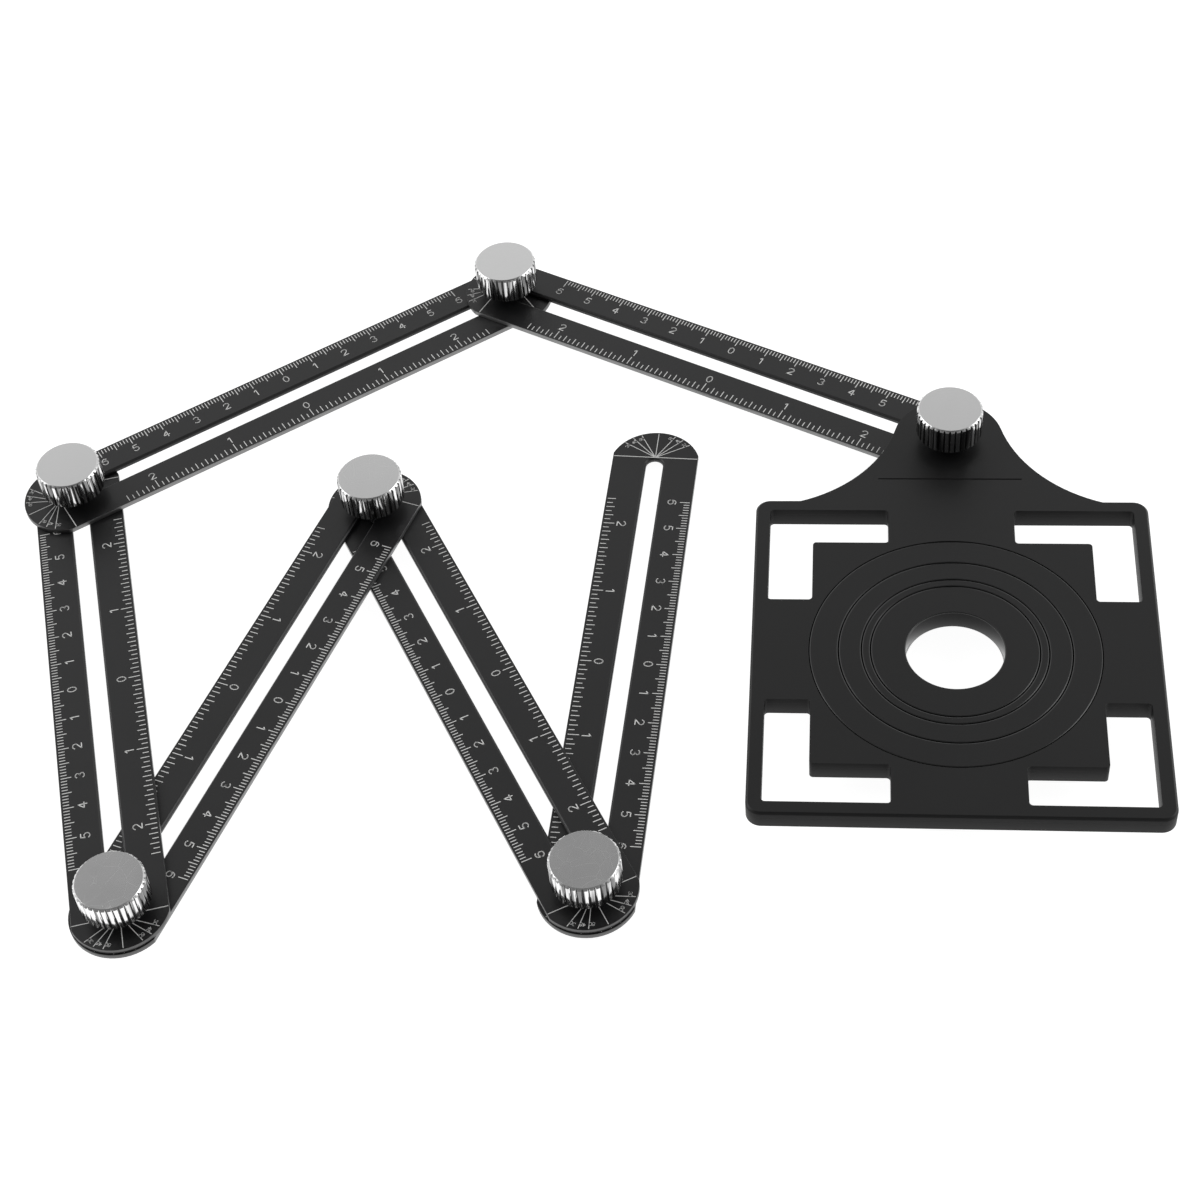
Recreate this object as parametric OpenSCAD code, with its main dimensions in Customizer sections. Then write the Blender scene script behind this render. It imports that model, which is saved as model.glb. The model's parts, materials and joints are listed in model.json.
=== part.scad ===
// Multi-angle folding ruler with a tile hole guide: six slotted arms, six bolts with knurled
// knobs, and a square guide plate whose nested rings lift out to change its hole.
// Frame: X along the guide's front edge, Y from the guide towards its bolt, Z up.
// The origin is on the axis of the guide's bore, in the plane of the guide's underside.

/* [Arms] */
// Length of an arm over its curved ends
arm_len = 175; // [150:1:260]
// Width of an arm
arm_w = 25; // [20:0.5:30]
// Thickness of an arm
arm_t = 1.5; // [1:0.1:2]
// How far an arm's curved end stands out past its corners
end_rise = 8.8; // [6:0.1:10]
// Width of the slot along an arm
slot_w = 5; // [4:0.1:6]
// Metal left between the slot's end and the arm's tip
slot_margin = 10.5; // [8:0.5:20]
// Width of the bevel round the slot's upper edge
slot_bevel = 0.5; // [0.2:0.1:0.8]
// Gap between pieces that turn or slide on each other's faces
face_gap = 0.05; // [0.02:0.01:0.1]

/* [Bolts] */
// Diameter of a bolt's flat head
head_d = 12; // [9:0.5:14]
// Thickness of a bolt's flat head
head_t = 2.1; // [1:0.1:2.1]
// Chamfer round a bolt's head
head_chamfer = 0.4; // [0.2:0.1:0.8]
// Length of the oblong neck that keeps a bolt from turning in its slot
bolt_neck_len = 5.6; // [5:0.1:8]
// Length of a bolt above its head
bolt_len = 11.5; // [10:0.1:13]
// Chamfer at a bolt's upper end
bolt_chamfer = 0.5; // [0.2:0.1:0.8]
// Gap on each side of a bolt in a slot or a hole
slide_gap = 0.05; // [0.02:0.01:0.1]

/* [Knobs] */
// Diameter of a knob over its knurl
knob_d = 18.5; // [14:0.5:24]
// Height of a knob's knurled head
knob_head_h = 8.5; // [6:0.1:12]
// Diameter of the collar under a knob's head
collar_d = 10; // [8:0.5:13]
// Height of the collar under a knob's head
collar_h = 3.5; // [2:0.1:5]
// Number of ribs round a knob
knurl_count = 36; // [24:1:60]
// Depth of the grooves between the ribs
knurl_depth = 0.4; // [0.2:0.05:0.8]
// Chamfer round a knob's top
rim_chamfer = 0.6; // [0.3:0.1:1.2]
// Chamfer round the foot of a knob's head
foot_chamfer = 0.3; // [0.1:0.1:0.8]
// Metal left above a knob's blind thread
knob_cap = 2.5; // [1:0.1:3]

/* [Guide plate] */
// Side of the square guide
guide_w = 108; // [100:1:130]
// Thickness of the guide
guide_t = 6; // [5.5:0.1:8]
// Radius of the guide's corners
guide_corner_r = 4; // [2:0.5:8]
// Chamfer along the guide's upper and lower outer edges
guide_chamfer = 0.6; // [0.3:0.1:1]
// Width of the outer frame
frame_bar = 4; // [2.5:0.1:5]
// Width of the four arms that carry the middle platform
cross_w = 34.5; // [24:0.5:40]
// Width of the windows round the middle platform
window_w = 12; // [8:0.1:13]
// Radius of the windows' and the platform's corners
window_corner_r = 1; // [0.5:0.1:2]

/* [Guide neck] */
// Distance from the guide's centre to its bolt
pivot_dist = 77.9; // [76:0.1:90]
// Radius of the neck's round end
neck_r = 15.5; // [14:0.1:18]
// Thickness of the neck over the arm
neck_t = 2.35; // [1.5:0.05:2.4]
// Width of the neck where it meets the square
neck_root_w = 84; // [70:1:90]
// Radius of the neck's hollow flanks
flank_r = 41; // [36:1:60]
// Distance from the bolt to the step under the neck
step_dist = 15.8; // [14:0.1:17]
// Length of the fine line on top of the neck, above the step
line_len = 40; // [20:1:46]
// Width of the fine line
line_w = 0.4; // [0.2:0.1:0.8]
// Depth of the fine line
line_depth = 0.25; // [0.1:0.05:0.5]

/* [Guide rings] */
// Diameter of the outer ring
outer_ring_d = 77.4; // [70:0.2:90]
// Width of the outer ring, up to the second ring
outer_ring_w = 7.8; // [5:0.1:10]
// Width of the second ring, up to the third ring
second_ring_w = 6.1; // [4:0.1:8]
// Width of the third ring, up to the inner ring
third_ring_w = 2.4; // [2:0.1:4]
// Width of the inner ring, up to its bore
inner_ring_w = 9.4; // [5:0.1:12]
// Least wall that the platform keeps round the outer ring's seat
seat_wall = 2; // [1:0.1:2.5]
// Width of the ledge that carries each ring
ledge_w = 1.2; // [0.8:0.1:1.6]
// Thickness of each ring's flange
flange_t = 3; // [2:0.1:4]
// Gap round each ring
ring_gap = 0.2; // [0.1:0.05:0.3]

/* [Pose] */
// Heading of arm 1 from the X axis
heading_1 = -26.3; // [-60:0.1:0]
// Turn from arm 1 to arm 2
turn_12 = 61.7; // [50:0.1:90]
// Turn from arm 2 to arm 3
turn_23 = 70.8; // [60:0.1:90]
// Turn from arm 3 to arm 4
turn_34 = 145.3; // [140:0.1:150]
// Turn from arm 4 to arm 5
turn_45 = -132.6; // [-140:0.1:-125]
// Turn from arm 5 to arm 6
turn_56 = 147.8; // [140:0.1:155]
// How far each bolt stands in from the end of the slot above it, guide bolt first
upper_inset = [0, 0, 2.4, 0, 0.9, 0];
// How far each bolt stands in from the end of the slot below it, guide bolt first
lower_inset = [0.1, 0.1, 1.5, 0.1, 1.3, 0.1];

/* [Hidden] */
$fn = 96;
// Overrun of every cut past the face that it opens
cut = 1;

// Arm
end_r = (arm_w * arm_w / 4 + end_rise * end_rise) / (2 * end_rise);
end_centre = arm_len / 2 - end_r;
corner_x = arm_len / 2 - end_rise;
slot_half = arm_len / 2 - slot_margin;
slot_r = slot_w / 2;

// Bolt: the neck stays just under the lower arm's upper face, so the upper arm turns over it
shank_r = slot_r - slide_gap;
neck_shy = 2 * slide_gap;
bolt_neck_h = arm_t - neck_shy;
// Last places that a bolt can reach in the slot above it and in the slot below it
upper_reach = slot_half - slot_r;
lower_reach = slot_half - bolt_neck_len / 2 - slide_gap;

// Knob
knob_r = knob_d / 2;
thread_r = shank_r + slide_gap;
thread_depth = collar_h + knob_head_h - knob_cap;
// Corners of one rib: turns as shares of the pitch, and depths as shares of the grooves' depth
rib_corner_shares = [[-0.4, 1], [-0.27, 0], [0.27, 0], [0.4, 1]];

// Guide
guide_half = guide_w / 2;
window_out = guide_half - frame_bar;
platform_half = window_out - window_w;
second_ring_d = outer_ring_d - 2 * outer_ring_w;
third_ring_d = second_ring_d - 2 * second_ring_w;
inner_ring_d = third_ring_d - 2 * third_ring_w;
bore_d = inner_ring_d - 2 * inner_ring_w;
neck_root = [neck_root_w / 2, guide_half - guide_chamfer];
// Centre of a flank's circle, which touches the neck's round end and passes the root
root_vec = neck_root - [0, pivot_dist];
root_far = norm(root_vec);
flank_reach = neck_r + flank_r;
flank_along = (flank_reach * flank_reach - flank_r * flank_r + root_far * root_far) / (2 * root_far);
flank_aside = sqrt(flank_reach * flank_reach - flank_along * flank_along);
root_unit = root_vec / root_far;
flank_centre = [0, pivot_dist] + flank_along * root_unit + flank_aside * [-root_unit.y, root_unit.x];
// Where the flank leaves the round end
neck_tangent = [0, pivot_dist] + (flank_centre - [0, pivot_dist]) * neck_r / flank_reach;
step_y = pivot_dist - step_dist;

// Heights: arm 1 lies under the guide's neck, and each arm lies on the next one
function arm_z(i) = guide_t - neck_t - i * (arm_t + face_gap);
// Headings of the arms
turns = [heading_1, turn_12, turn_23, turn_34, turn_45, turn_56];
function heading(i) = i == 1 ? turns[0] : heading(i - 1) + turns[i - 1];
function along(a) = [cos(a), sin(a)];
// Bolt j lies between arm j and arm j + 1, and bolt 0 between the guide and arm 1
function upper_station(j) = -(upper_reach - upper_inset[j]);
function lower_station(j) = lower_reach - lower_inset[j];
function bolt_at(j) = j == 0
    ? [0, pivot_dist]
    : arm_at(j) + upper_station(j) * along(heading(j));
function arm_at(i) = bolt_at(i - 1) - lower_station(i - 1) * along(heading(i));
// Height of knob j's foot, just over the guide's face or that of the upper arm
function seat_z(j) = face_gap + (j == 0 ? guide_t : arm_z(j) + arm_t);

module at_arm(i) {
    translate([arm_at(i).x, arm_at(i).y, arm_z(i)]) rotate(heading(i)) children();
}

// A bolt is turned with the arm whose slot holds its neck
module at_bolt(j) {
    translate([bolt_at(j).x, bolt_at(j).y, arm_z(j + 1)]) rotate(heading(j + 1)) children();
}

module at_knob(j) {
    translate([bolt_at(j).x, bolt_at(j).y, seat_z(j)]) rotate(heading(j + 1)) children();
}

// Straight slot with round ends
module oblong(length, radius, height) {
    run = length / 2 - radius;
    translate([-run, -radius, 0]) cube([2 * run, 2 * radius, height]);
    for (side = [-1, 1]) translate([side * run, 0, 0]) cylinder(h = height, r = radius);
}

// Bevel that widens the slot towards the arm's upper face
module slot_bevel_cut() {
    run = slot_half - slot_r;
    // The bevel's slope goes on above the face
    low = arm_t - slot_bevel;
    high = arm_t + slot_bevel;
    wide = slot_r + 2 * slot_bevel;
    profile = [[-slot_r, low], [slot_r, low], [wide, high], [-wide, high]];
    translate([-run, 0, 0]) rotate([90, 0, 90]) linear_extrude(2 * run) polygon(profile);
    for (side = [-1, 1]) translate([side * run, 0, low]) cylinder(h = high - low, r1 = slot_r, r2 = wide);
}

module arm_body() {
    difference() {
        union() {
            translate([-corner_x, -arm_w / 2, 0]) cube([2 * corner_x, arm_w, arm_t]);
            for (side = [-1, 1]) intersection() {
                translate([side * end_centre, 0, 0]) cylinder(h = arm_t, r = end_r);
                translate([side * arm_len / 4 - arm_len / 4, -arm_w / 2, 0]) cube([arm_len / 2, arm_w, arm_t]);
            }
        }
        translate([0, 0, -cut]) oblong(2 * slot_half, slot_r, arm_t + 2 * cut);
        slot_bevel_cut();
    }
}

module bolt_body() {
    head_r = head_d / 2;
    head_profile = [[0, -head_t], [head_r - head_chamfer, -head_t], [head_r, head_chamfer - head_t],
                    [head_r, 0], [0, 0]];
    shank_profile = [[0, -head_t / 2], [shank_r, -head_t / 2], [shank_r, bolt_len - bolt_chamfer],
                     [shank_r - bolt_chamfer, bolt_len], [0, bolt_len]];
    rotate_extrude() polygon(head_profile);
    rotate_extrude() polygon(shank_profile);
    translate([0, 0, -head_t / 2]) oblong(bolt_neck_len, shank_r, head_t / 2 + bolt_neck_h);
}

// Outline of the knurl: ribs with flat tops and narrow grooves between them
function knurl_points() = [
    for (i = [0:knurl_count - 1], corner = rib_corner_shares)
        (knob_r - corner[1] * knurl_depth) * along((i + corner[0]) * 360 / knurl_count)
];

module knob_body() {
    top = collar_h + knob_head_h;
    // The chamfers' slopes go on past the ribs
    over_r = knob_r + cut;
    head_profile = [[0, collar_h], [knob_r - foot_chamfer, collar_h], [over_r, collar_h + foot_chamfer + cut],
                    [over_r, top - rim_chamfer - cut], [knob_r - rim_chamfer, top], [0, top]];
    difference() {
        union() {
            cylinder(h = collar_h + knob_head_h / 2, d = collar_d);
            intersection() {
                translate([0, 0, collar_h - cut]) linear_extrude(knob_head_h + 2 * cut) polygon(knurl_points());
                rotate_extrude() polygon(head_profile);
            }
        }
        translate([0, 0, -cut]) cylinder(h = thread_depth + cut, r = thread_r);
    }
}

// Square slab with round corners, chamfered above and below
module slab() {
    flat = guide_half - guide_corner_r;
    inset = guide_half - guide_chamfer;
    side_profile = [[-inset, 0], [inset, 0], [guide_half, guide_chamfer],
                    [guide_half, guide_t - guide_chamfer], [inset, guide_t], [-inset, guide_t],
                    [-guide_half, guide_t - guide_chamfer], [-guide_half, guide_chamfer]];
    corner_in = guide_corner_r - guide_chamfer;
    corner_profile = [[0, 0], [corner_in, 0], [guide_corner_r, guide_chamfer],
                      [guide_corner_r, guide_t - guide_chamfer], [corner_in, guide_t], [0, guide_t]];
    for (turn = [0, 90]) rotate(turn) translate([0, flat, 0]) rotate([90, 0, 0])
        linear_extrude(2 * flat) polygon(side_profile);
    for (x = [-flat, flat], y = [-flat, flat]) translate([x, y, 0]) rotate_extrude() polygon(corner_profile);
}

// Straight hole with four round corners
module rounded_hole(length, width, radius) {
    for (inset = [[radius, 0], [0, radius]]) translate([inset.x, inset.y, -cut])
        cube([length - 2 * inset.x, width - 2 * inset.y, guide_t + 2 * cut]);
    for (x = [radius, length - radius], y = [radius, width - radius]) translate([x, y, -cut])
        cylinder(h = guide_t + 2 * cut, r = radius);
}

// One leg of a window, from the cross arm to the window's outer corner
module window_leg() {
    translate([cross_w / 2, platform_half, 0]) rounded_hole(window_out - cross_w / 2, window_w, window_corner_r);
}

// What the platform's round corner leaves open
module platform_corner_cut() {
    inner = platform_half - window_corner_r;
    difference() {
        translate([inner, inner, -cut]) cube([2 * window_corner_r, 2 * window_corner_r, guide_t + 2 * cut]);
        translate([inner, inner, -2 * cut]) cylinder(h = guide_t + 4 * cut, r = window_corner_r);
    }
}

module windows() {
    difference() {
        for (turn = [0, 90, 180, 270]) rotate(turn) {
            window_leg();
            mirror([1, -1, 0]) window_leg();
            platform_corner_cut();
        }
        translate([0, 0, -3 * cut]) cylinder(h = guide_t + 6 * cut, d = outer_ring_d + 2 * seat_wall);
    }
}

module neck() {
    thin_z = guide_t - neck_t;
    translate([0, pivot_dist, thin_z]) cylinder(h = neck_t, r = neck_r);
    difference() {
        linear_extrude(guide_t) polygon([[-neck_root.x, neck_root.y], neck_root, neck_tangent,
                                         [-neck_tangent.x, neck_tangent.y]]);
        for (side = [-1, 1]) translate([side * flank_centre.x, flank_centre.y, -cut])
            cylinder(h = guide_t + 2 * cut, r = flank_r);
        // Room under the neck for the arm's end and the bolt's head
        translate([-guide_half, step_y, -cut]) cube([guide_w, pivot_dist, thin_z + cut]);
    }
}

// Stepped seat of a ring: wide for the flange, narrow below the ledge
module ring_seat(d) {
    translate([0, 0, guide_t - flange_t]) cylinder(h = flange_t + cut, d = d);
    translate([0, 0, -cut]) cylinder(h = guide_t + 2 * cut, d = d - 2 * ledge_w);
}

module ring_body(d) {
    translate([0, 0, guide_t - flange_t]) cylinder(h = flange_t, d = d - 2 * ring_gap);
    cylinder(h = guide_t - flange_t / 2, d = d - 2 * ledge_w - 2 * ring_gap);
}

module guide_plate() {
    color("#2b2b2b") difference() {
        union() {
            slab();
            neck();
        }
        windows();
        ring_seat(outer_ring_d);
        translate([0, pivot_dist, -cut]) cylinder(h = guide_t + 2 * cut, r = slot_r);
        translate([-line_len / 2, step_y - line_w / 2, guide_t - line_depth])
            cube([line_len, line_w, line_depth + cut]);
    }
}

module outer_ring() {
    color("#2e2e2e") difference() {
        ring_body(outer_ring_d);
        ring_seat(second_ring_d);
    }
}

module second_ring() {
    color("#2e2e2e") difference() {
        ring_body(second_ring_d);
        ring_seat(third_ring_d);
    }
}

module third_ring() {
    color("#2e2e2e") difference() {
        ring_body(third_ring_d);
        ring_seat(inner_ring_d);
    }
}

module inner_ring() {
    color("#2e2e2e") difference() {
        ring_body(inner_ring_d);
        translate([0, 0, -cut]) cylinder(h = guide_t + 2 * cut, d = bore_d);
    }
}

module arm(i) {
    color("#363636") at_arm(i) arm_body();
}

module bolt(j) {
    color("gray") at_bolt(j) bolt_body();
}

module knob(j) {
    color("silver") at_knob(j) knob_body();
}

guide_plate();
outer_ring();
second_ring();
third_ring();
inner_ring();
arm(1);  // arm_1
arm(2);  // arm_2
arm(3);  // arm_3
arm(4);  // arm_4
arm(5);  // arm_5
arm(6);  // arm_6
bolt(0);  // bolt_guide
bolt(1);  // bolt_12
bolt(2);  // bolt_23
bolt(3);  // bolt_34
bolt(4);  // bolt_45
bolt(5);  // bolt_56
knob(0);  // knob_guide
knob(1);  // knob_12
knob(2);  // knob_23
knob(3);  // knob_34
knob(4);  // knob_45
knob(5);  // knob_56
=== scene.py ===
"""Folding ruler with a hole guide: printed scales, soft edges, finishes and a studio floor."""

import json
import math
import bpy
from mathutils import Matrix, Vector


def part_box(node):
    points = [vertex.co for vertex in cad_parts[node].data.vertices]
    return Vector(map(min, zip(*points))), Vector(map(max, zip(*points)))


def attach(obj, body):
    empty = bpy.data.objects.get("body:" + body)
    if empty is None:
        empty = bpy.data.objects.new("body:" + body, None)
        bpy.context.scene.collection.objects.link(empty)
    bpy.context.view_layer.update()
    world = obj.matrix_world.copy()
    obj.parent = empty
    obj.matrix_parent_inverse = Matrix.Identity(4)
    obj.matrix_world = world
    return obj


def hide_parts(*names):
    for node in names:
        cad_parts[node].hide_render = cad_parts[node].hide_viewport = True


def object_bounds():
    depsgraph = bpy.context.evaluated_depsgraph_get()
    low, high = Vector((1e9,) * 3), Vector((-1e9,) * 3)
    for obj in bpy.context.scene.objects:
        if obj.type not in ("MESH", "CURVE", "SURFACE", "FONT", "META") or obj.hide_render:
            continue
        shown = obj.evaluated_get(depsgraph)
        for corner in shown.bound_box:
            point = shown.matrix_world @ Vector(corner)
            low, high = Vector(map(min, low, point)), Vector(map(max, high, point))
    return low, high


bl_info = {
    "name": "Folding Ruler",
    "version": (1, 0, 0),
    "blender": (4, 5, 0),
    "location": "View3D > Sidebar > Folding Ruler",
    "description": "Dresses a folding ruler of slotted arms with a square hole guide",
    "category": "Object",
}

import bmesh
import bpy
from bpy.props import FloatProperty, FloatVectorProperty, IntProperty, PointerProperty
from bpy.types import Operator, Panel, PropertyGroup
from mathutils import Euler, Matrix, Vector

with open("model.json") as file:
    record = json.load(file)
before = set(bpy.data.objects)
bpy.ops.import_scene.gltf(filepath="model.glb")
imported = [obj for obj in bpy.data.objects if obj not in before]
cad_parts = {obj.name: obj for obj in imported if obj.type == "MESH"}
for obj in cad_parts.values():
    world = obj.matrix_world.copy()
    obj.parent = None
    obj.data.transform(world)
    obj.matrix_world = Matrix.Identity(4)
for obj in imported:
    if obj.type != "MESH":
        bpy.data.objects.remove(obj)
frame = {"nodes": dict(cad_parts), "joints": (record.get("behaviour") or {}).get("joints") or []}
cad_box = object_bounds()

MM = 0.001
INCH = 0.0254
ARM_LENGTH = 175 * MM
ARM_WIDTH = 25 * MM
# How far the curved end of an arm stands out beyond its straight sides
ARM_END_RISE = 8.8 * MM
ARMS = range(1, 7)
BOLTS = ("guide", "12", "23", "34", "45", "56")
RINGS = ("outer_ring", "second_ring", "third_ring", "inner_ring")
# The slide that runs along each arm, and 1 or -1 as its axis points along the arm's own X or back
ARM_SLIDES = {
    1: ("bolt_guide_slide", -1),
    2: ("bolt_12_slide", -1),
    3: ("bolt_23_slide", -1),
    4: ("arm_4_slide", -1),
    5: ("arm_5_slide", -1),
    6: ("arm_6_slide", 1),
}
# Points closer than this are one point
MERGE = 0.001 * MM
# Faces that turn by less than this lie in one plane
FLAT_ANGLE = math.radians(0.5)
# Edges sharper than this are rounded
SHARP_ANGLE = math.radians(24)
# Edges that are still sharper than this are shaded as creases
CREASE_ANGLE = math.radians(42)
ROUNDING_SEGMENTS = 2
# Depth of the grain in every finish
GRAIN_DEPTH = 0.05 * MM
# Half the height of the mould's parting line, and its depth
SEAM_HALF = 0.07 * MM
SEAM_DEPTH = 0.12 * MM
# Turn between two points of a digit's curve, in degrees
ARC_STEP = 30
# Distance between the digits of a number, in digit heights
DIGIT_PITCH = 0.8
# Degree lines of a fan, from the arm's own direction
FAN_DEGREES = (-60, -45, -30, 0, 30, 45, 60)
# Name, place, width and length, and power in watts of each softbox
SOFTBOXES = (
    ("left softbox", (-1.5, 0.2, 1.0), (1.2, 1.2), 8.0),
    ("right softbox", (1.5, 0.3, 1.1), (1.0, 1.2), 8.0),
)
LIT_POINT = (-0.08, 0.03, 0.0)
# The studio's brightness by the sine of the height above the horizon
SKY_STOPS = ((0.0, 0.95), (0.6, 1.0), (0.68, 0.92), (0.74, 0.6), (0.81, 0.35), (1.0, 0.3))


def joint(name):
    return next(j for j in frame["joints"] if j["name"] == name)


def arm_place(i):
    """Turns and moves an arm's own drawing onto its upper face."""
    low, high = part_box(f"arm_{i}")
    slide, sign = ARM_SLIDES[i]
    along = sign * Vector(joint(slide)["axis"])
    centre = (low + high) / 2
    heading = math.atan2(along.y, along.x)
    return Matrix.Translation((centre.x, centre.y, high.z)) @ Matrix.Rotation(heading, 4, "Z")


# Properties


class RulerArmSettings(PropertyGroup):
    edge_round: FloatProperty(
        name="Edge rounding", description="Radius of an arm's edges", default=0.12 * MM, unit="LENGTH",
        precision=5)
    face_color: FloatVectorProperty(
        name="Anodised face", description="Colour of the anodised faces", subtype="COLOR", size=3,
        default=(0.006, 0.006, 0.0065))
    edge_color: FloatVectorProperty(
        name="Cut edge", description="Colour of the sheared long sides", subtype="COLOR", size=3,
        default=(0.24, 0.24, 0.24))
    # The milled ends are a real cut, but their colour is darker than the sheared sides as painted shade on
    # the end arcs
    milled_shade_color: FloatVectorProperty(
        name="Milled edge, painted shade", description="Colour of the milled ends", subtype="COLOR", size=3,
        default=(0.12, 0.12, 0.12))
    milled_from: FloatProperty(
        name="Milled from", description="Distance from an arm's middle at which its milled ends begin",
        default=78.7 * MM, unit="LENGTH", precision=5)


class RulerScaleSettings(PropertyGroup):
    ink_color: FloatVectorProperty(
        name="Ink", description="Colour of the printed marks", subtype="COLOR", size=3,
        default=(0.8, 0.8, 0.79))
    ink_depth: FloatProperty(
        name="Ink depth", description="Thickness of the print, half of it in the face",
        default=0.04 * MM, unit="LENGTH", precision=5)
    line_width: FloatProperty(
        name="Line width", description="Width of a printed line", default=0.24 * MM, unit="LENGTH",
        precision=5)
    margin: FloatProperty(
        name="Margin", description="Distance from an arm's middle to the scales' outer ends",
        default=11.9 * MM, unit="LENGTH", precision=5)
    centimetres: IntProperty(
        name="Centimetres", description="Centimetres on each side of zero", default=6, min=1)
    millimetre_tick: FloatProperty(
        name="Millimetre tick", description="Length of a millimetre's tick", default=1.65 * MM,
        unit="LENGTH", precision=5)
    five_tick: FloatProperty(
        name="Five millimetre tick", description="Length of every fifth tick", default=2.6 * MM,
        unit="LENGTH", precision=5)
    centimetre_tick: FloatProperty(
        name="Centimetre tick", description="Length of a centimetre's tick", default=2.85 * MM,
        unit="LENGTH", precision=5)
    sixteenths: IntProperty(
        name="Sixteenths", description="Sixteenths of an inch on each side of zero", default=38, min=1)
    sixteenth_tick: FloatProperty(
        name="Sixteenth tick", description="Length of a sixteenth's tick", default=1.65 * MM,
        unit="LENGTH", precision=5)
    eighth_tick: FloatProperty(
        name="Eighth tick", description="Length of an eighth's tick", default=2.35 * MM, unit="LENGTH",
        precision=5)
    inch_tick: FloatProperty(
        name="Inch tick", description="Length of an inch's tick", default=3.1 * MM, unit="LENGTH",
        precision=5)
    digit_height: FloatProperty(
        name="Digit height", description="Height of the scales' digits", default=2.4 * MM,
        unit="LENGTH", precision=5)
    digit_width: FloatProperty(
        name="Digit stroke", description="Width of a digit's strokes", default=0.28 * MM,
        unit="LENGTH", precision=5)
    digit_inset: FloatProperty(
        name="Digit inset", description="Distance from the ticks' outer ends to a digit's middle",
        default=5.1 * MM, unit="LENGTH", precision=5)
    fan_place: FloatProperty(
        name="Fan place",
        description="Distance from an arm's middle to the cross line of its degree fan",
        default=77.4 * MM, unit="LENGTH", precision=5)
    fan_gap: FloatProperty(
        name="Fan gap", description="Gap between the degree lines and the arm's edge",
        default=0.4 * MM, unit="LENGTH", precision=5)
    fan_line_width: FloatProperty(
        name="Degree line width", description="Width of a degree line", default=0.204 * MM,
        unit="LENGTH", precision=5)
    degree_height: FloatProperty(
        name="Degree height", description="Height of the degree numbers", default=0.95 * MM,
        unit="LENGTH", precision=5)
    degree_width: FloatProperty(
        name="Degree stroke", description="Width of a degree number's strokes", default=0.168 * MM,
        unit="LENGTH", precision=5)


class RulerGuideSettings(PropertyGroup):
    edge_round: FloatProperty(
        name="Edge rounding", description="Radius of the guide's moulded edges", default=0.22 * MM,
        unit="LENGTH", precision=5)
    ring_round: FloatProperty(
        name="Ring rounding", description="Radius of the rings' moulded edges", default=0.32 * MM,
        unit="LENGTH", precision=5)
    color: FloatVectorProperty(
        name="Plastic", description="Colour of the moulded plastic", subtype="COLOR", size=3,
        default=(0.005, 0.005, 0.0052))
    seam_share: FloatProperty(
        name="Seam height",
        description="Height of the mould's parting line as a share of the thickness", default=0.68,
        min=0.0, max=1.0)


class RulerKnobSettings(PropertyGroup):
    edge_round: FloatProperty(
        name="Edge rounding", description="Radius of a knob's edges", default=0.07 * MM, unit="LENGTH",
        precision=5)
    color: FloatVectorProperty(
        name="Chrome", description="Colour of the plating on the top", subtype="COLOR", size=3,
        default=(0.62, 0.62, 0.62))
    rib_color: FloatVectorProperty(
        name="Ribs", description="Colour of the plating on the ribs", subtype="COLOR", size=3,
        default=(0.9, 0.9, 0.9))
    # The grooves' near-black colour is painted shade, for the shade that falls between the ribs
    groove_shade_color: FloatVectorProperty(
        name="Grooves", description="Colour of the grooves between the ribs", subtype="COLOR", size=3,
        default=(0.04, 0.04, 0.04))
    # Upright faces deeper than this below the ribs take the painted groove shade
    groove_depth: FloatProperty(
        name="Groove depth", description="Depth below the ribs at which a groove counts as dull",
        default=0.3 * MM, unit="LENGTH", precision=5)


class RulerBoltSettings(PropertyGroup):
    edge_round: FloatProperty(
        name="Edge rounding", description="Radius of a bolt's edges", default=0.08 * MM, unit="LENGTH",
        precision=5)
    color: FloatVectorProperty(
        name="Zinc", description="Colour of the zinc plating", subtype="COLOR", size=3,
        default=(0.5, 0.5, 0.51))


class RulerStageSettings(PropertyGroup):
    camera_place: FloatVectorProperty(
        name="Camera place", description="Where the camera stands", subtype="TRANSLATION", size=3,
        default=(-30.66 * MM, -410.62 * MM, 506.70 * MM))
    camera_turn: FloatVectorProperty(
        name="Camera turn", description="How the camera is turned", subtype="EULER", size=3,
        default=(math.radians(40.619), math.radians(3.974), math.radians(4.026)))
    lens: FloatProperty(name="Lens", description="Focal length in millimetres", default=72.73)
    floor_color: FloatVectorProperty(
        name="Floor", description="Colour of the floor", subtype="COLOR", size=3,
        default=(0.35, 0.35, 0.35))
    floor_glow: FloatProperty(
        name="Floor glow", description="Strength of the light that the floor gives by itself",
        default=0.95, min=0.0)
    floor_size: FloatProperty(
        name="Floor size", description="Side of the floor", default=6.0, unit="LENGTH")


# Shader node groups and materials


def add_node(tree, kind, place, **values):
    """A shader node, with each named value set on its input or on the node itself."""
    node = tree.nodes.new(kind)
    node.location = place
    for name, value in values.items():
        if name in node.inputs:
            node.inputs[name].default_value = value
        else:
            setattr(node, name, value)
    return node


def new_group(name, inputs, outputs):
    """An empty shader node group with float inputs and named outputs."""
    group = bpy.data.node_groups.new(name, "ShaderNodeTree")
    for label, default in inputs:
        socket = group.interface.new_socket(label, in_out="INPUT", socket_type="NodeSocketFloat")
        socket.default_value = default
    for label in outputs:
        group.interface.new_socket(label, in_out="OUTPUT", socket_type="NodeSocketFloat")
    return group


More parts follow.
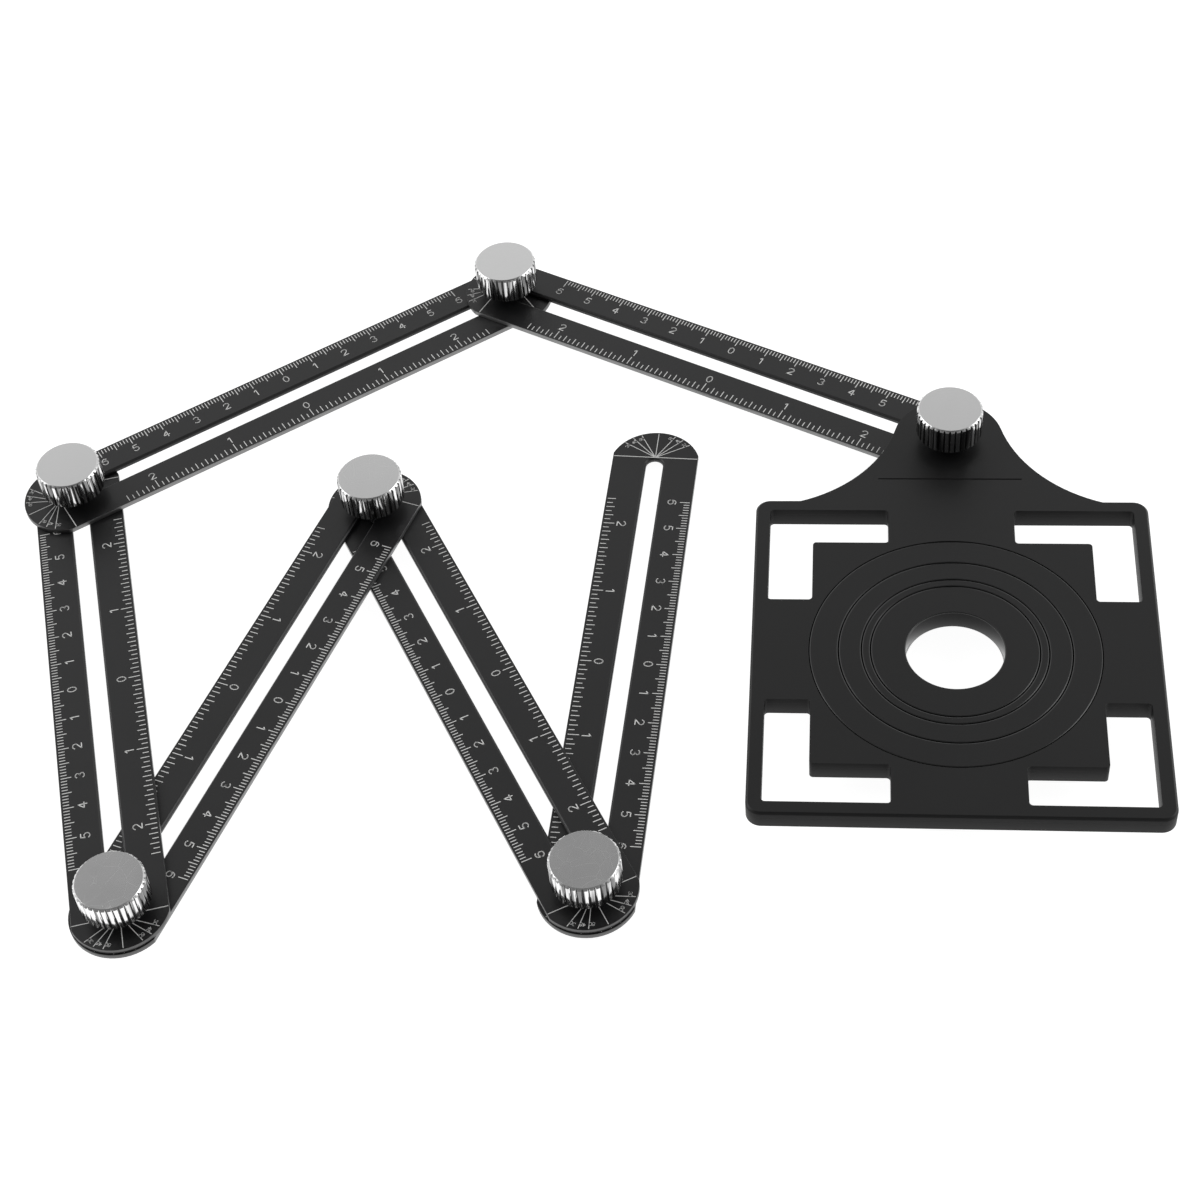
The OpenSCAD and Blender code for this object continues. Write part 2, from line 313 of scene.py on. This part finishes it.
def fine_grain_group():
    """Even grain of a blasted or moulded surface, with broad faint clouds."""
    name = "Fine grain"
    if name in bpy.data.node_groups:
        return bpy.data.node_groups[name]
    group = new_group(name, [("Grain scale", 4000.0), ("Cloud scale", 60.0)], ["Height", "Clouds"])
    entry = add_node(group, "NodeGroupInput", (-600, 0))
    leave = add_node(group, "NodeGroupOutput", (300, 0))
    place = add_node(group, "ShaderNodeTexCoord", (-600, -200))
    grain = add_node(group, "ShaderNodeTexNoise", (-200, 100), Detail=3.0, Roughness=0.6)
    cloud = add_node(group, "ShaderNodeTexNoise", (-200, -200), Detail=4.0, Roughness=0.55)
    for noise, label in ((grain, "Grain scale"), (cloud, "Cloud scale")):
        group.links.new(place.outputs["Object"], noise.inputs["Vector"])
        group.links.new(entry.outputs[label], noise.inputs["Scale"])
    group.links.new(grain.outputs["Fac"], leave.inputs["Height"])
    group.links.new(cloud.outputs["Fac"], leave.inputs["Clouds"])
    return group


def fine_scratch_group():
    """A mask of sparse hair-fine scratches that run every way."""
    name = "Fine scratches"
    if name in bpy.data.node_groups:
        return bpy.data.node_groups[name]
    group = new_group(name, [("Scale", 150.0), ("Amount", 0.5)], ["Mask"])
    entry = add_node(group, "NodeGroupInput", (-900, 0))
    leave = add_node(group, "NodeGroupOutput", (500, 0))
    place = add_node(group, "ShaderNodeTexCoord", (-900, -200))
    bend = add_node(group, "ShaderNodeTexNoise", (-700, -200), Scale=25.0, Detail=2.0)
    mix = add_node(group, "ShaderNodeVectorMath", (-500, -100), operation="MULTIPLY_ADD")
    mix.inputs[1].default_value = (0.02, 0.02, 0.02)
    cells = add_node(group, "ShaderNodeTexVoronoi", (-250, 0), feature="DISTANCE_TO_EDGE", Randomness=1.0)
    thin = add_node(group, "ShaderNodeMapRange", (0, 0))
    thin.inputs["From Min"].default_value = 0.0
    thin.inputs["From Max"].default_value = 0.012
    thin.inputs["To Min"].default_value = 1.0
    thin.inputs["To Max"].default_value = 0.0
    scale = add_node(group, "ShaderNodeMath", (250, 0), operation="MULTIPLY")
    group.links.new(place.outputs["Object"], bend.inputs["Vector"])
    group.links.new(bend.outputs["Color"], mix.inputs[0])
    group.links.new(place.outputs["Object"], mix.inputs[2])
    group.links.new(mix.outputs["Vector"], cells.inputs["Vector"])
    group.links.new(entry.outputs["Scale"], cells.inputs["Scale"])
    group.links.new(cells.outputs["Distance"], thin.inputs["Value"])
    group.links.new(thin.outputs["Result"], scale.inputs[0])
    group.links.new(entry.outputs["Amount"], scale.inputs[1])
    group.links.new(scale.outputs["Value"], leave.inputs["Mask"])
    return group


def upright_streak_group():
    """Streaks that run up and down and darken some of the ribs at random."""
    name = "Upright streaks"
    if name in bpy.data.node_groups:
        return bpy.data.node_groups[name]
    group = new_group(name, [("Scale", 500.0), ("Darkest", 0.25)], ["Shade"])
    entry = add_node(group, "NodeGroupInput", (-700, 0))
    leave = add_node(group, "NodeGroupOutput", (400, 0))
    place = add_node(group, "ShaderNodeTexCoord", (-700, -200))
    flatten = add_node(group, "ShaderNodeVectorMath", (-450, -150), operation="MULTIPLY")
    flatten.inputs[1].default_value = (1.0, 1.0, 0.04)
    noise = add_node(group, "ShaderNodeTexNoise", (-200, 0), Detail=1.0, Roughness=0.5)
    steep = add_node(group, "ShaderNodeMapRange", (100, 0))
    steep.inputs["From Min"].default_value = 0.44
    steep.inputs["From Max"].default_value = 0.54
    steep.inputs["To Max"].default_value = 1.0
    group.links.new(place.outputs["Object"], flatten.inputs[0])
    group.links.new(flatten.outputs["Vector"], noise.inputs["Vector"])
    group.links.new(entry.outputs["Scale"], noise.inputs["Scale"])
    group.links.new(noise.outputs["Fac"], steep.inputs["Value"])
    group.links.new(entry.outputs["Darkest"], steep.inputs["To Min"])
    group.links.new(steep.outputs["Result"], leave.inputs["Shade"])
    return group


def new_material(name, metallic, specular=0.5):
    """A material with its shader, and the shader's tree."""
    material = bpy.data.materials.new(name)
    material.use_nodes = True
    tree = material.node_tree
    shader = tree.nodes["Principled BSDF"]
    shader.inputs["Metallic"].default_value = metallic
    shader.inputs["Specular IOR Level"].default_value = specular
    return material, tree, shader


def grained(tree, shader, color, contrast, roughness, spread, grain_scale, bump, cloud_scale=60.0):
    """Feeds a shader with clouded colour and roughness, and a bump of fine grain."""
    grain = add_node(tree, "ShaderNodeGroup", (-900, 0), node_tree=fine_grain_group())
    grain.inputs["Grain scale"].default_value = grain_scale
    grain.inputs["Cloud scale"].default_value = cloud_scale
    tint = add_node(tree, "ShaderNodeMapRange", (-650, 250))
    tint.inputs["To Min"].default_value = 1 - contrast
    tint.inputs["To Max"].default_value = 1 + contrast
    paint = add_node(tree, "ShaderNodeVectorMath", (-400, 250), operation="SCALE")
    paint.inputs[0].default_value = color
    rough = add_node(tree, "ShaderNodeMapRange", (-400, 50))
    rough.inputs["To Min"].default_value = roughness - spread
    rough.inputs["To Max"].default_value = roughness + spread
    relief = add_node(tree, "ShaderNodeBump", (-400, -200))
    relief.inputs["Strength"].default_value = bump
    relief.inputs["Distance"].default_value = GRAIN_DEPTH
    tree.links.new(grain.outputs["Clouds"], tint.inputs["Value"])
    tree.links.new(tint.outputs["Result"], paint.inputs["Scale"])
    tree.links.new(paint.outputs["Vector"], shader.inputs["Base Color"])
    tree.links.new(grain.outputs["Clouds"], rough.inputs["Value"])
    tree.links.new(rough.outputs["Result"], shader.inputs["Roughness"])
    tree.links.new(grain.outputs["Height"], relief.inputs["Height"])
    tree.links.new(relief.outputs["Normal"], shader.inputs["Normal"])
    return rough, relief


def scratched(tree, shader, rough, scale, amount):
    """Lays fine scratches over a shader's roughness."""
    scratches = add_node(tree, "ShaderNodeGroup", (-650, -400), node_tree=fine_scratch_group())
    scratches.inputs["Scale"].default_value = scale
    scratches.inputs["Amount"].default_value = amount
    add = add_node(tree, "ShaderNodeMath", (-150, 0), operation="ADD", use_clamp=True)
    tree.links.new(rough.outputs["Result"], add.inputs[0])
    tree.links.new(scratches.outputs["Mask"], add.inputs[1])
    tree.links.new(add.outputs["Value"], shader.inputs["Roughness"])


def anodised_material(color):
    """The black faces of the arms."""
    material, tree, shader = new_material("Black anodised", 0.0)
    rough, _ = grained(
        tree, shader, color, contrast=0.18, roughness=0.4, spread=0.05, grain_scale=9000.0, bump=0.12)
    scratched(tree, shader, rough, scale=160.0, amount=0.1)
    return material


def cut_edge_material(name, color):
    """Bare metal where an arm was cut, with traces of black."""
    material, tree, shader = new_material(name, 0.85)
    grained(
        tree, shader, color, contrast=0.25, roughness=0.38, spread=0.08, grain_scale=5000.0, bump=0.25,
        cloud_scale=200.0)
    return material


def ink_material(color):
    """The pale print of the scales."""
    material, tree, shader = new_material("Printed ink", 0.0, specular=0.3)
    grained(
        tree, shader, color, contrast=0.14, roughness=0.6, spread=0.05, grain_scale=9000.0, bump=0.1,
        cloud_scale=500.0)
    return material


def plastic_material(color):
    """The satin top of the guide and the rings."""
    material, tree, shader = new_material("Black moulding", 0.0, specular=0.4)
    rough, _ = grained(
        tree, shader, color, contrast=0.15, roughness=0.42, spread=0.04, grain_scale=6500.0, bump=0.14,
        cloud_scale=45.0)
    scratched(tree, shader, rough, scale=110.0, amount=0.06)
    return material


def smooth_plastic_material(name, color, specular, roughness):
    """The smooth walls and polished edges of the rings."""
    material, tree, shader = new_material(name, 0.0, specular)
    grained(
        tree, shader, color, contrast=0.1, roughness=roughness, spread=0.03, grain_scale=6500.0, bump=0.03,
        cloud_scale=45.0)
    return material


def plastic_side_material(color, seam_height):
    """The duller sides of the guide, with the mould's parting line."""
    material, tree, shader = new_material("Black moulding, side", 0.0, specular=0.2)
    _, relief = grained(
        tree, shader, color, contrast=0.15, roughness=0.5, spread=0.04, grain_scale=6500.0, bump=0.14,
        cloud_scale=45.0)
    # A fine furrow round the side at one height
    place = add_node(tree, "ShaderNodeTexCoord", (-1100, -500))
    split = add_node(tree, "ShaderNodeSeparateXYZ", (-900, -500))
    near = add_node(tree, "ShaderNodeMath", (-700, -600), operation="COMPARE")
    near.inputs[1].default_value = seam_height
    near.inputs[2].default_value = SEAM_HALF
    furrow = add_node(tree, "ShaderNodeBump", (-150, -300))
    furrow.invert = True
    furrow.inputs["Strength"].default_value = 1.0
    furrow.inputs["Distance"].default_value = SEAM_DEPTH
    tree.links.new(place.outputs["Object"], split.inputs["Vector"])
    tree.links.new(split.outputs["Z"], near.inputs[0])
    tree.links.new(near.outputs["Value"], furrow.inputs["Height"])
    tree.links.new(relief.outputs["Normal"], furrow.inputs["Normal"])
    tree.links.new(furrow.outputs["Normal"], shader.inputs["Normal"])
    return material


def chrome_material(color):
    """The bright plating of the ribs."""
    material, tree, shader = new_material("Bright chrome", 1.0)
    shader.inputs["Roughness"].default_value = 0.13
    streaks = add_node(tree, "ShaderNodeGroup", (-700, 200), node_tree=upright_streak_group())
    paint = add_node(tree, "ShaderNodeVectorMath", (-400, 200), operation="SCALE")
    paint.inputs[0].default_value = color
    tree.links.new(streaks.outputs["Shade"], paint.inputs["Scale"])
    tree.links.new(paint.outputs["Vector"], shader.inputs["Base Color"])
    return material


def painted_groove_shade_material(color):
    """Painted shade on the floors of the grooves between the ribs, made dark for the shade that falls in
    them.
    """
    material, tree, shader = new_material("Painted groove shade", 1.0)
    grained(
        tree, shader, color, contrast=0.2, roughness=0.4, spread=0.05, grain_scale=5000.0, bump=0.05,
        cloud_scale=300.0)
    return material


def satin_chrome_material(color):
    """The brushed plating of the knobs' tops."""
    material, tree, shader = new_material("Satin chrome", 1.0)
    rough, _ = grained(
        tree, shader, color, contrast=0.03, roughness=0.2, spread=0.03, grain_scale=7000.0, bump=0.008,
        cloud_scale=130.0)
    scratched(tree, shader, rough, scale=220.0, amount=0.08)
    return material


def zinc_material(color):
    """The plain plating of the bolts."""
    material, tree, shader = new_material("Zinc plated steel", 1.0)
    rough, _ = grained(
        tree, shader, color, contrast=0.12, roughness=0.34, spread=0.08, grain_scale=4000.0, bump=0.15,
        cloud_scale=300.0)
    scratched(tree, shader, rough, scale=300.0, amount=0.12)
    return material


def floor_material(color, glow):
    """A lit table: most of its brightness is its own, so shadows on it stay faint."""
    material, tree, shader = new_material("Studio floor", 0.0, specular=0.2)
    shader.inputs["Base Color"].default_value = (*color, 1.0)
    shader.inputs["Roughness"].default_value = 0.9
    shader.inputs["Emission Color"].default_value = (1.0, 1.0, 1.0, 1.0)
    shader.inputs["Emission Strength"].default_value = glow
    return material


# Building pieces


def finish_piece(bm, name, body, materials, nodes=()):
    """Makes an object of a bmesh, hands it to its body, and hides the nodes it stands for."""
    mesh = bpy.data.meshes.new(name)
    bm.to_mesh(mesh)
    bm.free()
    for material in materials:
        mesh.materials.append(material)
    piece = bpy.data.objects.new(name, mesh)
    bpy.context.scene.collection.objects.link(piece)
    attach(piece, body)
    if nodes:
        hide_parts(*nodes)
    return piece


def shade(bm):
    """Flat level faces, smooth walls and roundings, and a crease at each sharp edge."""
    bm.normal_update()
    for face in bm.faces:
        face.smooth = abs(face.normal.z) < 0.999
    for edge in bm.edges:
        edge.smooth = not (edge.is_manifold and edge.calc_face_angle() > CREASE_ANGLE)


def rounded_copy(node, width):
    """A copy of a CAD node as one clean mesh with its sharp edges rounded."""
    bm = bmesh.new()
    bm.from_mesh(frame["nodes"][node].data)
    bmesh.ops.remove_doubles(bm, verts=bm.verts, dist=MERGE)
    bmesh.ops.dissolve_limit(
        bm, angle_limit=FLAT_ANGLE, use_dissolve_boundaries=False, verts=bm.verts, edges=bm.edges,
        delimit=set())
    sharp = [e for e in bm.edges if e.is_manifold and e.calc_face_angle() > SHARP_ANGLE]
    bmesh.ops.bevel(
        bm, geom=sharp, offset=width, offset_type="OFFSET", segments=ROUNDING_SEGMENTS, profile=0.5,
        affect="EDGES", clamp_overlap=True, material=-1)
    bmesh.ops.remove_doubles(bm, verts=bm.verts, dist=MERGE)
    shade(bm)
    return bm


def add_bar(bm, start, end, width, depth):
    """A printed line between two points of a face, half of its depth in the face."""
    line = Vector(end) - Vector(start)
    middle = (Vector(start) + Vector(end)) / 2
    place = (
        Matrix.Translation((middle.x, middle.y, 0))
        @ Matrix.Rotation(math.atan2(line.y, line.x), 4, "Z")
        @ Matrix.Diagonal((line.length, width, depth, 1))
    )
    bmesh.ops.create_cube(bm, size=1.0, matrix=place)


def arc(centre, radii, start, end):
    """Points along an upright ellipse between two turns in degrees."""
    steps = max(2, round(abs(end - start) / ARC_STEP))
    turns = [math.radians(start + (end - start) * k / steps) for k in range(steps + 1)]
    return [(centre[0] + radii[0] * math.cos(t), centre[1] + radii[1] * math.sin(t)) for t in turns]


# Strokes of the digits, in digit heights round each digit's middle
DIGIT_STROKES = {
    "0": [arc((0, 0), (0.33, 0.5), 0, 360)],
    "1": [[(-0.2, 0.25), (0.08, 0.5), (0.08, -0.5)]],
    "2": [arc((0, 0.2), (0.34, 0.3), 165, -35) + [(-0.36, -0.5), (0.36, -0.5)]],
    "3": [arc((0, 0.25), (0.3, 0.25), 155, -90), arc((0, -0.25), (0.34, 0.25), 90, -155)],
    "4": [[(0.14, -0.5), (0.14, 0.5), (-0.38, -0.18), (0.38, -0.18)]],
    "5": [[(0.3, 0.5), (-0.2, 0.5), (-0.28, 0.03)] + arc((0, -0.18), (0.34, 0.32), 135, -150)],
    "6": [arc((0, -0.18), (0.34, 0.32), 0, 360), arc((0.06, -0.02), (0.39, 0.5), 50, 195)],
}


def add_number(bm, text, place, height, width, depth, turn=0.0):
    """Prints a number with its middle at a point of a face."""
    fit = Matrix.Translation((place[0], place[1], 0)) @ Matrix.Rotation(turn, 4, "Z")
    first = -DIGIT_PITCH / 2 * height * (len(text) - 1)
    for column, digit in enumerate(text):
        for stroke in DIGIT_STROKES[digit]:
            points = [
                fit @ Vector((first + (x + DIGIT_PITCH * column) * height, y * height, 0))
                for x, y in stroke
            ]
            for start, end in zip(points, points[1:]):
                # Each stretch runs on a little, so that the bends are closed
                over = (end - start).normalized() * width / 4
                add_bar(bm, start - over, end + over, width, depth)


def add_centimetre_scale(bm, s):
    """Ticks each millimetre along the edge at +Y, and a digit at each centimetre."""
    for step in range(-10 * s.centimetres, 10 * s.centimetres + 1):
        x = step * MM
        if step % 10 == 0:
            length = s.centimetre_tick
            digit_y = s.margin - s.digit_inset
            add_number(bm, str(abs(step) // 10), (x, digit_y), s.digit_height, s.digit_width, s.ink_depth)
        elif step % 5 == 0:
            length = s.five_tick
        else:
            length = s.millimetre_tick
        add_bar(bm, (x, s.margin - length), (x, s.margin), s.line_width, s.ink_depth)


def add_inch_scale(bm, s):
    """Ticks each sixteenth of an inch along the edge at -Y, and a digit at each inch."""
    for step in range(-s.sixteenths, s.sixteenths + 1):
        x = step * INCH / 16
        if step % 16 == 0:
            length = s.inch_tick
            digit_y = s.digit_inset - s.margin
            add_number(bm, str(abs(step) // 16), (x, digit_y), s.digit_height, s.digit_width, s.ink_depth)
        elif step % 2 == 0:
            length = s.eighth_tick
        else:
            length = s.sixteenth_tick
        add_bar(bm, (x, -s.margin), (x, length - s.margin), s.line_width, s.ink_depth)


def fan_reach(angle, s, arc_radius, arc_centre):
    """Length of a degree line from the fan's middle to just inside the arm's end."""
    offset = s.fan_place - arc_centre
    along = offset * math.cos(angle)
    return math.sqrt(along * along + arc_radius * arc_radius - offset * offset) - along - s.fan_gap


def add_degree_fan(bm, s, side):
    """The cross line at an end of the slot, and the degree lines and their numbers beyond it."""
    arc_radius = (ARM_WIDTH * ARM_WIDTH / 4 + ARM_END_RISE * ARM_END_RISE) / (2 * ARM_END_RISE)
    arc_centre = ARM_LENGTH / 2 - arc_radius
    foot = Vector((side * s.fan_place, 0.0))
    reach = ARM_WIDTH / 2 - s.fan_gap / 2
    add_bar(bm, (foot.x, -reach), (foot.x, reach), s.line_width, s.ink_depth)
    for degrees in FAN_DEGREES:
        angle = math.radians(degrees)
        length = fan_reach(angle, s, arc_radius, arc_centre)
        way = Vector((side * math.cos(angle), math.sin(angle)))
        add_bar(bm, foot + way * s.line_width, foot + way * length, s.fan_line_width, s.ink_depth)
        if degrees:
            # The number stands beside the line's outer end, and counts from the cross line
            across = Vector((-way.y, way.x))
            place = foot + way * (length - 1.5 * s.degree_height) + across * 0.75 * s.degree_height
            turn = math.atan2(way.y, way.x) - math.pi / 2
            label = str(90 - abs(degrees))
            add_number(bm, label, place, s.degree_height, s.degree_width, s.ink_depth, turn)


def drawn_scale(s):
    """Every printed mark of one arm, drawn round the arm's middle."""
    bm = bmesh.new()
    add_centimetre_scale(bm, s)
    add_inch_scale(bm, s)
    for side in (-1, 1):
        add_degree_fan(bm, s, side)
    return bm


# Operators


class RULER_OT_arms(Operator):
    """Round the arms' edges and give them their anodised and cut finishes"""
    bl_idname = "ruler.arms"
    bl_label = "Arms"

    def execute(self, context):
        s = context.scene.ruler_arms
        anodised, sheared, milled = range(3)
        materials = [
            anodised_material(s.face_color),
            cut_edge_material("Sheared edge", s.edge_color),
            # This second copy of the cut edge is darker: painted shade on the milled ends
            cut_edge_material("Milled edge, painted shade", s.milled_shade_color),
        ]
        for i in ARMS:
            bm = rounded_copy(f"arm_{i}", s.edge_round)
            to_drawing = arm_place(i).inverted()
            outer = max(abs((to_drawing @ v.co).y) for v in bm.verts) - 2 * s.edge_round
            for face in bm.faces:
                middle = to_drawing @ face.calc_center_median()
                if abs(face.normal.z) > 0.5:
                    face.material_index = anodised
                elif abs(middle.x) > s.milled_from:
                    # Milled ends take the darker copy, painted shade on the end arcs
                    face.material_index = milled
                else:
                    # The slot's walls are anodised as the faces are
                    face.material_index = sheared if abs(middle.y) > outer else anodised
            finish_piece(bm, f"arm_{i}_blade", f"arm_{i}", materials, [f"arm_{i}"])
        return {"FINISHED"}


class RULER_OT_scales(Operator):
    """Print the centimetre and inch scales and the degree fans on the arms"""
    bl_idname = "ruler.scales"
    bl_label = "Scales"

    def execute(self, context):
        s = context.scene.ruler_scales
        ink = ink_material(s.ink_color)
        for i in ARMS:
            bm = drawn_scale(s)
            bmesh.ops.transform(bm, matrix=arm_place(i), verts=bm.verts)
            finish_piece(bm, f"arm_{i}_scale", f"arm_{i}", [ink])
        return {"FINISHED"}


class RULER_OT_guide(Operator):
    """Soften the guide and its rings and give them their moulded finish"""
    bl_idname = "ruler.guide"
    bl_label = "Guide"

    def execute(self, context):
        s = context.scene.ruler_guide
        level, edge, wall = range(3)
        low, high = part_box("guide_plate")
        seam = low.z + s.seam_share * (high.z - low.z)
        plastic = plastic_material(s.color)
        plate_materials = [plastic, plastic_side_material(s.color, seam)]
        bm = rounded_copy("guide_plate", s.edge_round)
        for face in bm.faces:
            upright = abs(face.normal.z) < 0.3
            face.material_index = 1 if upright else 0
        finish_piece(bm, "guide_moulding", "guide_plate", plate_materials, ["guide_plate"])
        ring_materials = [
            plastic,
            smooth_plastic_material("Black moulding, ring edge", s.color, specular=0.7, roughness=0.25),
            smooth_plastic_material("Black moulding, ring wall", s.color, specular=0.2, roughness=0.15),
        ]
        for node in RINGS:
            bm = rounded_copy(node, s.ring_round)
            for face in bm.faces:
                flatness = abs(face.normal.z)
                if flatness > 0.98:
                    face.material_index = level
                else:
                    face.material_index = edge if flatness > 0.2 else wall
            finish_piece(bm, f"{node}_moulding", node, ring_materials, [node])
        return {"FINISHED"}


class RULER_OT_knobs(Operator):
    """Model the ribbed knobs and plate them"""
    bl_idname = "ruler.knobs"
    bl_label = "Knobs"

    def execute(self, context):
        s = context.scene.ruler_knobs
        rib, top, groove = range(3)
        materials = [
            chrome_material(s.rib_color),
            satin_chrome_material(s.color),
            painted_groove_shade_material(s.groove_shade_color),
        ]
        for bolt in BOLTS:
            node = f"knob_{bolt}"
            low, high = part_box(node)
            axis = ((low + high) / 2).xy
            radius = (high.x - low.x) / 2
            bm = rounded_copy(node, s.edge_round)
            for face in bm.faces:
                middle = face.calc_center_median()
                on_top = face.normal.z > 0.6 and middle.z > (low.z + high.z) / 2
                upright = abs(face.normal.z) < 0.5
                if on_top:
                    face.material_index = top
                # Upright faces deep in the grooves take the painted groove shade
                elif upright and (middle.xy - axis).length < radius - s.groove_depth:
                    face.material_index = groove
                else:
                    face.material_index = rib
            finish_piece(bm, f"{node}_turned", node, materials, [node])
        return {"FINISHED"}


class RULER_OT_bolts(Operator):
    """Round the bolts' edges and plate them"""
    bl_idname = "ruler.bolts"
    bl_label = "Bolts"

    def execute(self, context):
        s = context.scene.ruler_bolts
        zinc = zinc_material(s.color)
        for bolt in BOLTS:
            node = f"bolt_{bolt}"
            bm = rounded_copy(node, s.edge_round)
            finish_piece(bm, f"{node}_plated", node, [zinc], [node])
        return {"FINISHED"}


class RULER_OT_stage(Operator):
    """Lay the floor, hang the lights and set the camera"""
    bl_idname = "ruler.stage"
    bl_label = "Stage"

    def execute(self, context):
        s = context.scene.ruler_stage
        scene = context.scene
        self.lay_floor(scene, s)
        self.set_camera(scene, s)
        self.hang_softboxes(scene)
        self.light_world(scene)
        scene.view_settings.view_transform = "Standard"
        return {"FINISHED"}

    def lay_floor(self, scene, s):
        """A square floor that the lowest piece touches."""
        lowest = cad_box[0][2]
        bm = bmesh.new()
        bmesh.ops.create_grid(bm, x_segments=1, y_segments=1, size=s.floor_size / 2)
        bmesh.ops.translate(bm, verts=bm.verts, vec=(0, 0, lowest))
        mesh = bpy.data.meshes.new("floor")
        bm.to_mesh(mesh)
        bm.free()
        mesh.materials.append(floor_material(s.floor_color, s.floor_glow))
        floor = bpy.data.objects.new("floor", mesh)
        scene.collection.objects.link(floor)

    def set_camera(self, scene, s):
        """The camera, above the front edge and tilted down."""
        camera_data = bpy.data.cameras.new("camera")
        camera_data.lens = s.lens
        camera_data.sensor_width = 36.0
        camera_data.clip_start = 0.01
        camera = bpy.data.objects.new("camera", camera_data)
        camera.matrix_world = Matrix.Translation(s.camera_place) @ Euler(s.camera_turn).to_matrix().to_4x4()
        scene.collection.objects.link(camera)
        scene.camera = camera

    def hang_softboxes(self, scene):
        """Soft lights at both sides, turned towards the ruler."""
        for name, place, size, power in SOFTBOXES:
            light = bpy.data.lights.new(name, "AREA")
            light.shape = "RECTANGLE"
            light.size = size[0]
            light.size_y = size[1]
            light.energy = power
            lamp = bpy.data.objects.new(name, light)
            lamp.location = place
            lamp.rotation_euler = (Vector(LIT_POINT) - Vector(place)).to_track_quat("-Z", "Y").to_euler()
            scene.collection.objects.link(lamp)

    def light_world(self, scene):
        """A studio that is bright round the back and sides, and darker overhead and in front."""
        world = bpy.data.worlds.new("Studio")
        world.use_nodes = True
        tree = world.node_tree
        back = tree.nodes["Background"]
        place = add_node(tree, "ShaderNodeTexCoord", (-800, 0))
        split = add_node(tree, "ShaderNodeSeparateXYZ", (-600, 0))
        ramp = add_node(tree, "ShaderNodeValToRGB", (-400, 0))
        ramp.color_ramp.elements[0].position = SKY_STOPS[0][0]
        ramp.color_ramp.elements[1].position = SKY_STOPS[-1][0]
        for position, _ in SKY_STOPS[1:-1]:
            ramp.color_ramp.elements.new(position)
        for element, (_, value) in zip(ramp.color_ramp.elements, SKY_STOPS):
            element.color = (value, value, value, 1.0)
        tree.links.new(place.outputs["Generated"], split.inputs["Vector"])
        tree.links.new(split.outputs["Z"], ramp.inputs["Fac"])
        tree.links.new(ramp.outputs["Color"], back.inputs["Color"])
        front = add_node(tree, "ShaderNodeMapRange", (-400, -300))
        front.inputs["From Min"].default_value = -0.6
        front.inputs["From Max"].default_value = 0.2
        front.inputs["To Min"].default_value = 0.25
        front.inputs["To Max"].default_value = 1.0
        tree.links.new(split.outputs["Y"], front.inputs["Value"])
        tree.links.new(front.outputs["Result"], back.inputs["Strength"])
        scene.world = world


class RULER_PT_panel(Panel):
    """The ruler's pieces, in the order in which they are made"""
    bl_idname = "RULER_PT_panel"
    bl_label = "Folding Ruler"
    bl_space_type = "VIEW_3D"
    bl_region_type = "UI"
    bl_category = "Folding Ruler"

    def draw(self, context):
        column = self.layout.column()
        for operator in OPERATORS:
            column.operator(operator.bl_idname)


SETTINGS = {
    "ruler_arms": RulerArmSettings,
    "ruler_scales": RulerScaleSettings,
    "ruler_guide": RulerGuideSettings,
    "ruler_knobs": RulerKnobSettings,
    "ruler_bolts": RulerBoltSettings,
    "ruler_stage": RulerStageSettings,
}
OPERATORS = (RULER_OT_arms, RULER_OT_scales, RULER_OT_guide, RULER_OT_knobs, RULER_OT_bolts, RULER_OT_stage)


def register():
    for name, settings in SETTINGS.items():
        bpy.utils.register_class(settings)
        setattr(bpy.types.Scene, name, PointerProperty(type=settings))
    for operator in OPERATORS:
        bpy.utils.register_class(operator)
    bpy.utils.register_class(RULER_PT_panel)


def unregister():
    bpy.utils.unregister_class(RULER_PT_panel)
    for operator in reversed(OPERATORS):
        bpy.utils.unregister_class(operator)
    for name, settings in SETTINGS.items():
        delattr(bpy.types.Scene, name)
        bpy.utils.unregister_class(settings)


def main():
    register()
    bpy.ops.ruler.arms()
    bpy.ops.ruler.scales()
    bpy.ops.ruler.guide()
    bpy.ops.ruler.knobs()
    bpy.ops.ruler.bolts()
    bpy.ops.ruler.stage()


if __name__ == "__main__":
    main()
